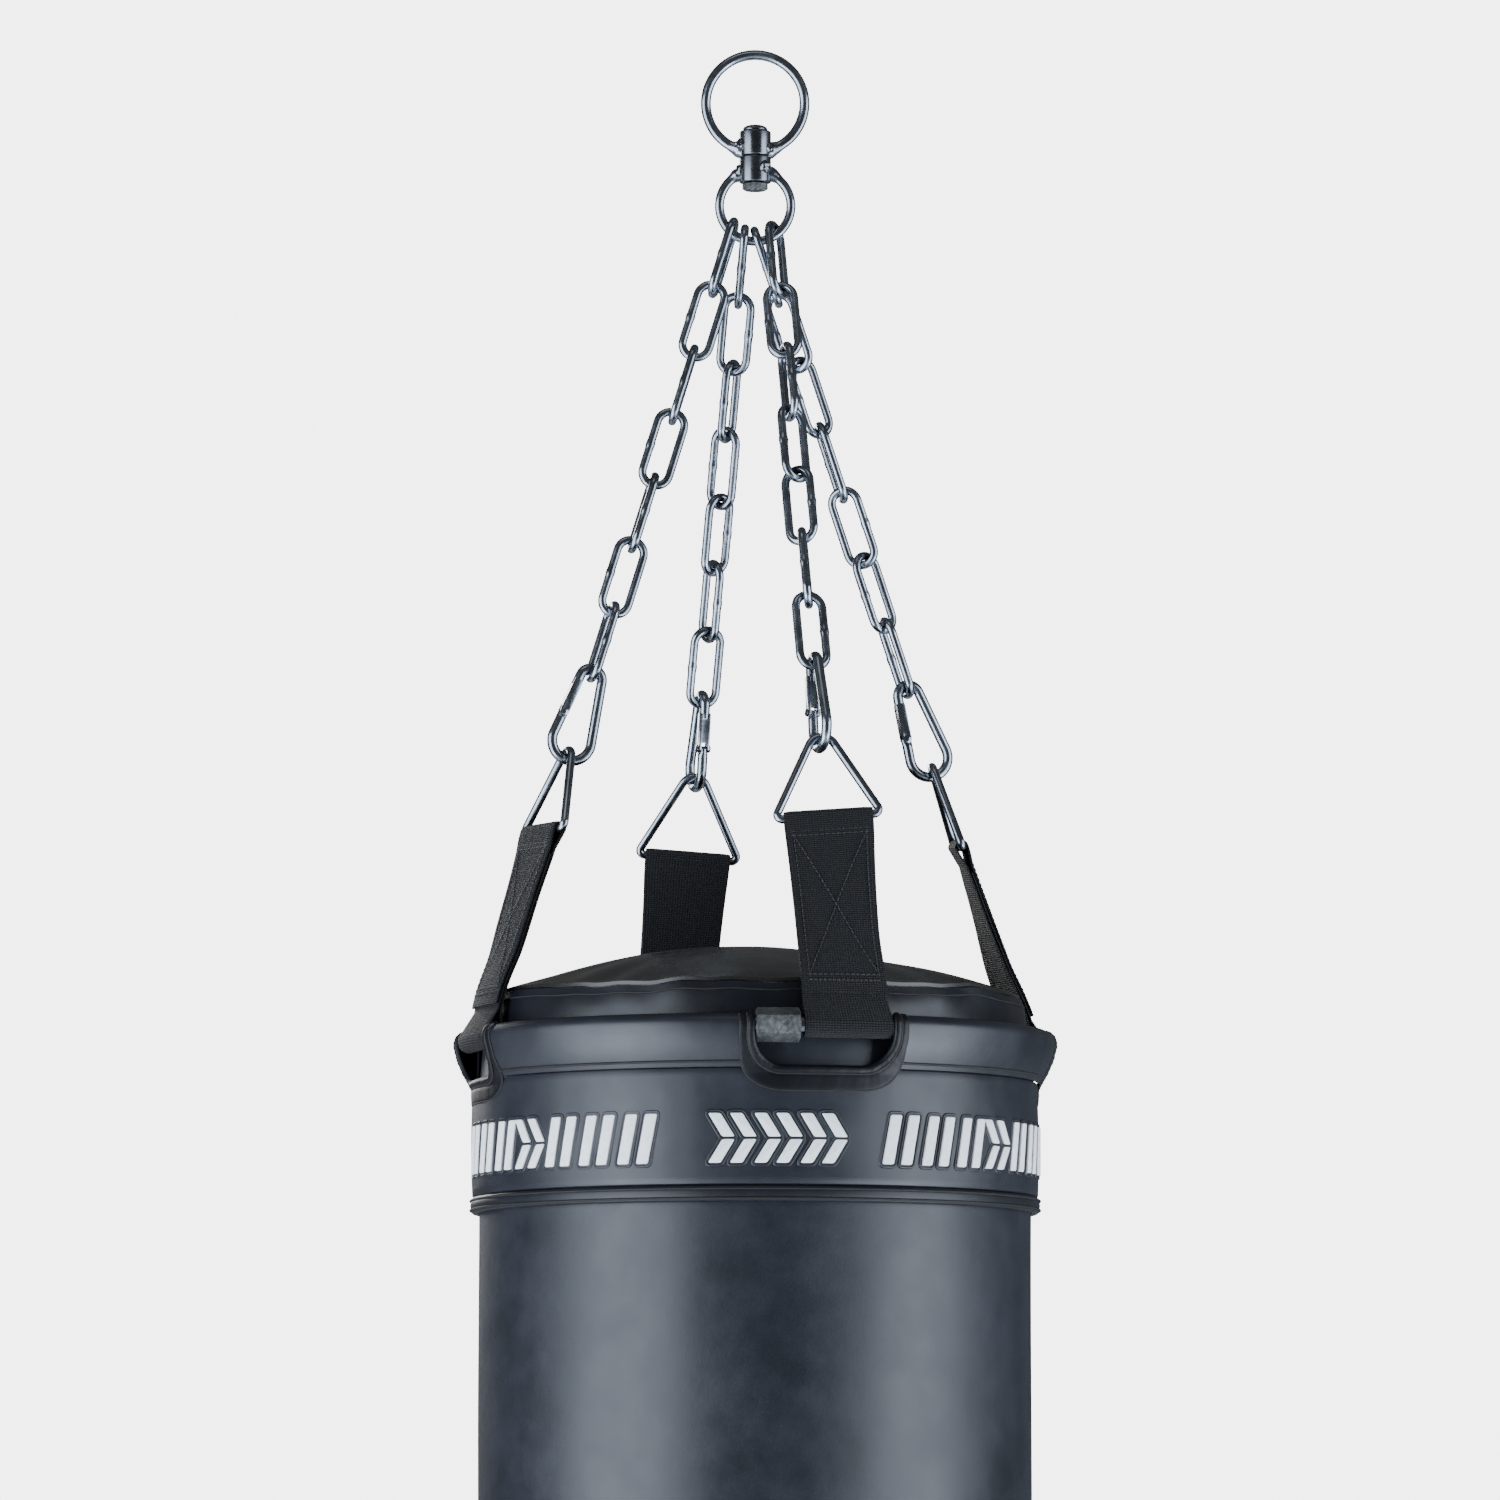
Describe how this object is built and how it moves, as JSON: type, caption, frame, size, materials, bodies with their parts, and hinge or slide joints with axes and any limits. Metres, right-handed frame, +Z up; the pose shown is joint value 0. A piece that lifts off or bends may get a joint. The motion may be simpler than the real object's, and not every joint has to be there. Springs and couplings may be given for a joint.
{
  "type": "hanging punching bag",
  "caption": "Hanging heavy bag: padded leather cylinder on a steel rim, held by webbing straps, snap hooks and chain legs under a swivel and a hanging ring.",
  "frame": {"origin": "the inside top of the hanging ring, where the hook above bears", "axes": "+Z up along the bag's axis, -Y the front, +X to the right of someone who faces the front"},
  "size_m": [0.347, 0.349, 1.7765],
  "materials": {
    "zinc_steel": "gloss",
    "nut_steel": "satin",
    "leather": "satin",
    "lid_vinyl": "satin",
    "seam_leather": "satin",
    "webbing": "matte",
    "textile_filling": "matte"
  },
  "bodies": {
    "hanger": {"hanging_ring": "zinc_steel", "swivel_upper_barrel": "zinc_steel"},
    "swivel": {"swivel_pin": "zinc_steel", "swivel_nut": "nut_steel", "swivel_lower_barrel": "zinc_steel", "lower_ring": "zinc_steel"},
    "carabiner_front": {"carabiner_front": "zinc_steel"},
    "gate_front": {"gate_front": "zinc_steel"},
    "carabiner_right": {"carabiner_right": "zinc_steel"},
    "gate_right": {"gate_right": "zinc_steel"},
    "carabiner_back": {"carabiner_back": "zinc_steel"},
    "gate_back": {"gate_back": "zinc_steel"},
    "carabiner_left": {"carabiner_left": "zinc_steel"},
    "gate_left": {"gate_left": "zinc_steel"},
    "bag": {"body_skin": "leather", "bottom_panel": "leather", "chain_back_link_1": "zinc_steel", "chain_back_link_2": "zinc_steel", "chain_back_link_3": "zinc_steel", "chain_back_link_4": "zinc_steel", "chain_back_link_5": "zinc_steel", "chain_back_link_6": "zinc_steel", "chain_back_link_7": "zinc_steel", "chain_front_link_1": "zinc_steel", "chain_front_link_2": "zinc_steel", "chain_front_link_3": "zinc_steel", "chain_front_link_4": "zinc_steel", "chain_front_link_5": "zinc_steel", "chain_front_link_6": "zinc_steel", "chain_front_link_7": "zinc_steel", "chain_left_link_1": "zinc_steel", "chain_left_link_2": "zinc_steel", "chain_left_link_3": "zinc_steel", "chain_left_link_4": "zinc_steel", "chain_left_link_5": "zinc_steel", "chain_left_link_6": "zinc_steel", "chain_left_link_7": "zinc_steel", "chain_right_link_1": "zinc_steel", "chain_right_link_2": "zinc_steel", "chain_right_link_3": "zinc_steel", "chain_right_link_4": "zinc_steel", "chain_right_link_5": "zinc_steel", "chain_right_link_6": "zinc_steel", "chain_right_link_7": "zinc_steel", "filling": "textile_filling", "hoop_coupling_nut": "nut_steel", "rim_hoop": "zinc_steel", "rim_sleeve": "leather", "seam_tape": "seam_leather", "strap_back": "webbing", "strap_front": "webbing", "strap_left": "webbing", "strap_right": "webbing", "top_collar": "leather", "top_lid": "lid_vinyl", "triangle_ring_back": "zinc_steel", "triangle_ring_front": "zinc_steel", "triangle_ring_left": "zinc_steel", "triangle_ring_right": "zinc_steel", "upper_band": "leather"}
  },
  "joints": [
    {"name": "swivel_spin", "type": "hinge", "parent": "hanger", "child": "swivel", "pos_m": [0, 0, 0], "axis": [0, 0, 1], "continuous": true},
    {"name": "bag_swing", "type": "hinge", "parent": "swivel", "child": "bag", "pos_m": [0, 0, -0.103], "axis": [1, 0, 0], "range_deg": [-20, 20]},
    {"name": "carabiner_front_turn", "type": "hinge", "parent": "bag", "child": "carabiner_front", "pos_m": [0.03332, -0.08664, -0.36382], "axis": [-0.0799, 0.3159, 0.9454], "range_deg": [-12, 12]},
    {"name": "gate_front_open", "type": "hinge", "parent": "carabiner_front", "child": "gate_front", "pos_m": [0.03275, -0.08722, -0.39554], "axis": [0.9508, 0.3089, -0.0228], "range_deg": [0, 25], "stiffness_Nm_per_rad": 0.03, "springref_deg": -17.19},
    {"name": "carabiner_right_turn", "type": "hinge", "parent": "bag", "child": "carabiner_right", "pos_m": [0.08785, 0.0283, -0.36666], "axis": [-0.3141, -0.1032, 0.9438], "range_deg": [-12, 12]},
    {"name": "gate_right_open", "type": "hinge", "parent": "carabiner_right", "child": "gate_right", "pos_m": [0.08838, 0.0285, -0.39838], "axis": [-0.309, 0.9511, 0.0011], "range_deg": [0, 25], "stiffness_Nm_per_rad": 0.03, "springref_deg": -17.19},
    {"name": "carabiner_back_turn", "type": "hinge", "parent": "bag", "child": "carabiner_back", "pos_m": [-0.03119, 0.08694, -0.3658], "axis": [0.09, -0.317, 0.9441], "range_deg": [-12, 12]},
    {"name": "gate_back_open", "type": "hinge", "parent": "carabiner_back", "child": "gate_back", "pos_m": [-0.03095, 0.08757, -0.39752], "axis": [-0.951, -0.309, -0.0131], "range_deg": [0, 25], "stiffness_Nm_per_rad": 0.03, "springref_deg": -17.19},
    {"name": "carabiner_left_turn", "type": "hinge", "parent": "bag", "child": "carabiner_left", "pos_m": [-0.0932, -0.02822, -0.3636], "axis": [0.2888, 0.1029, 0.9519], "range_deg": [-12, 12]},
    {"name": "gate_left_open", "type": "hinge", "parent": "carabiner_left", "child": "gate_left", "pos_m": [-0.11092, -0.03423, -0.38923], "axis": [-0.309, 0.951, -0.0091], "range_deg": [0, 25], "stiffness_Nm_per_rad": 0.03, "springref_deg": -17.19}
  ]
}
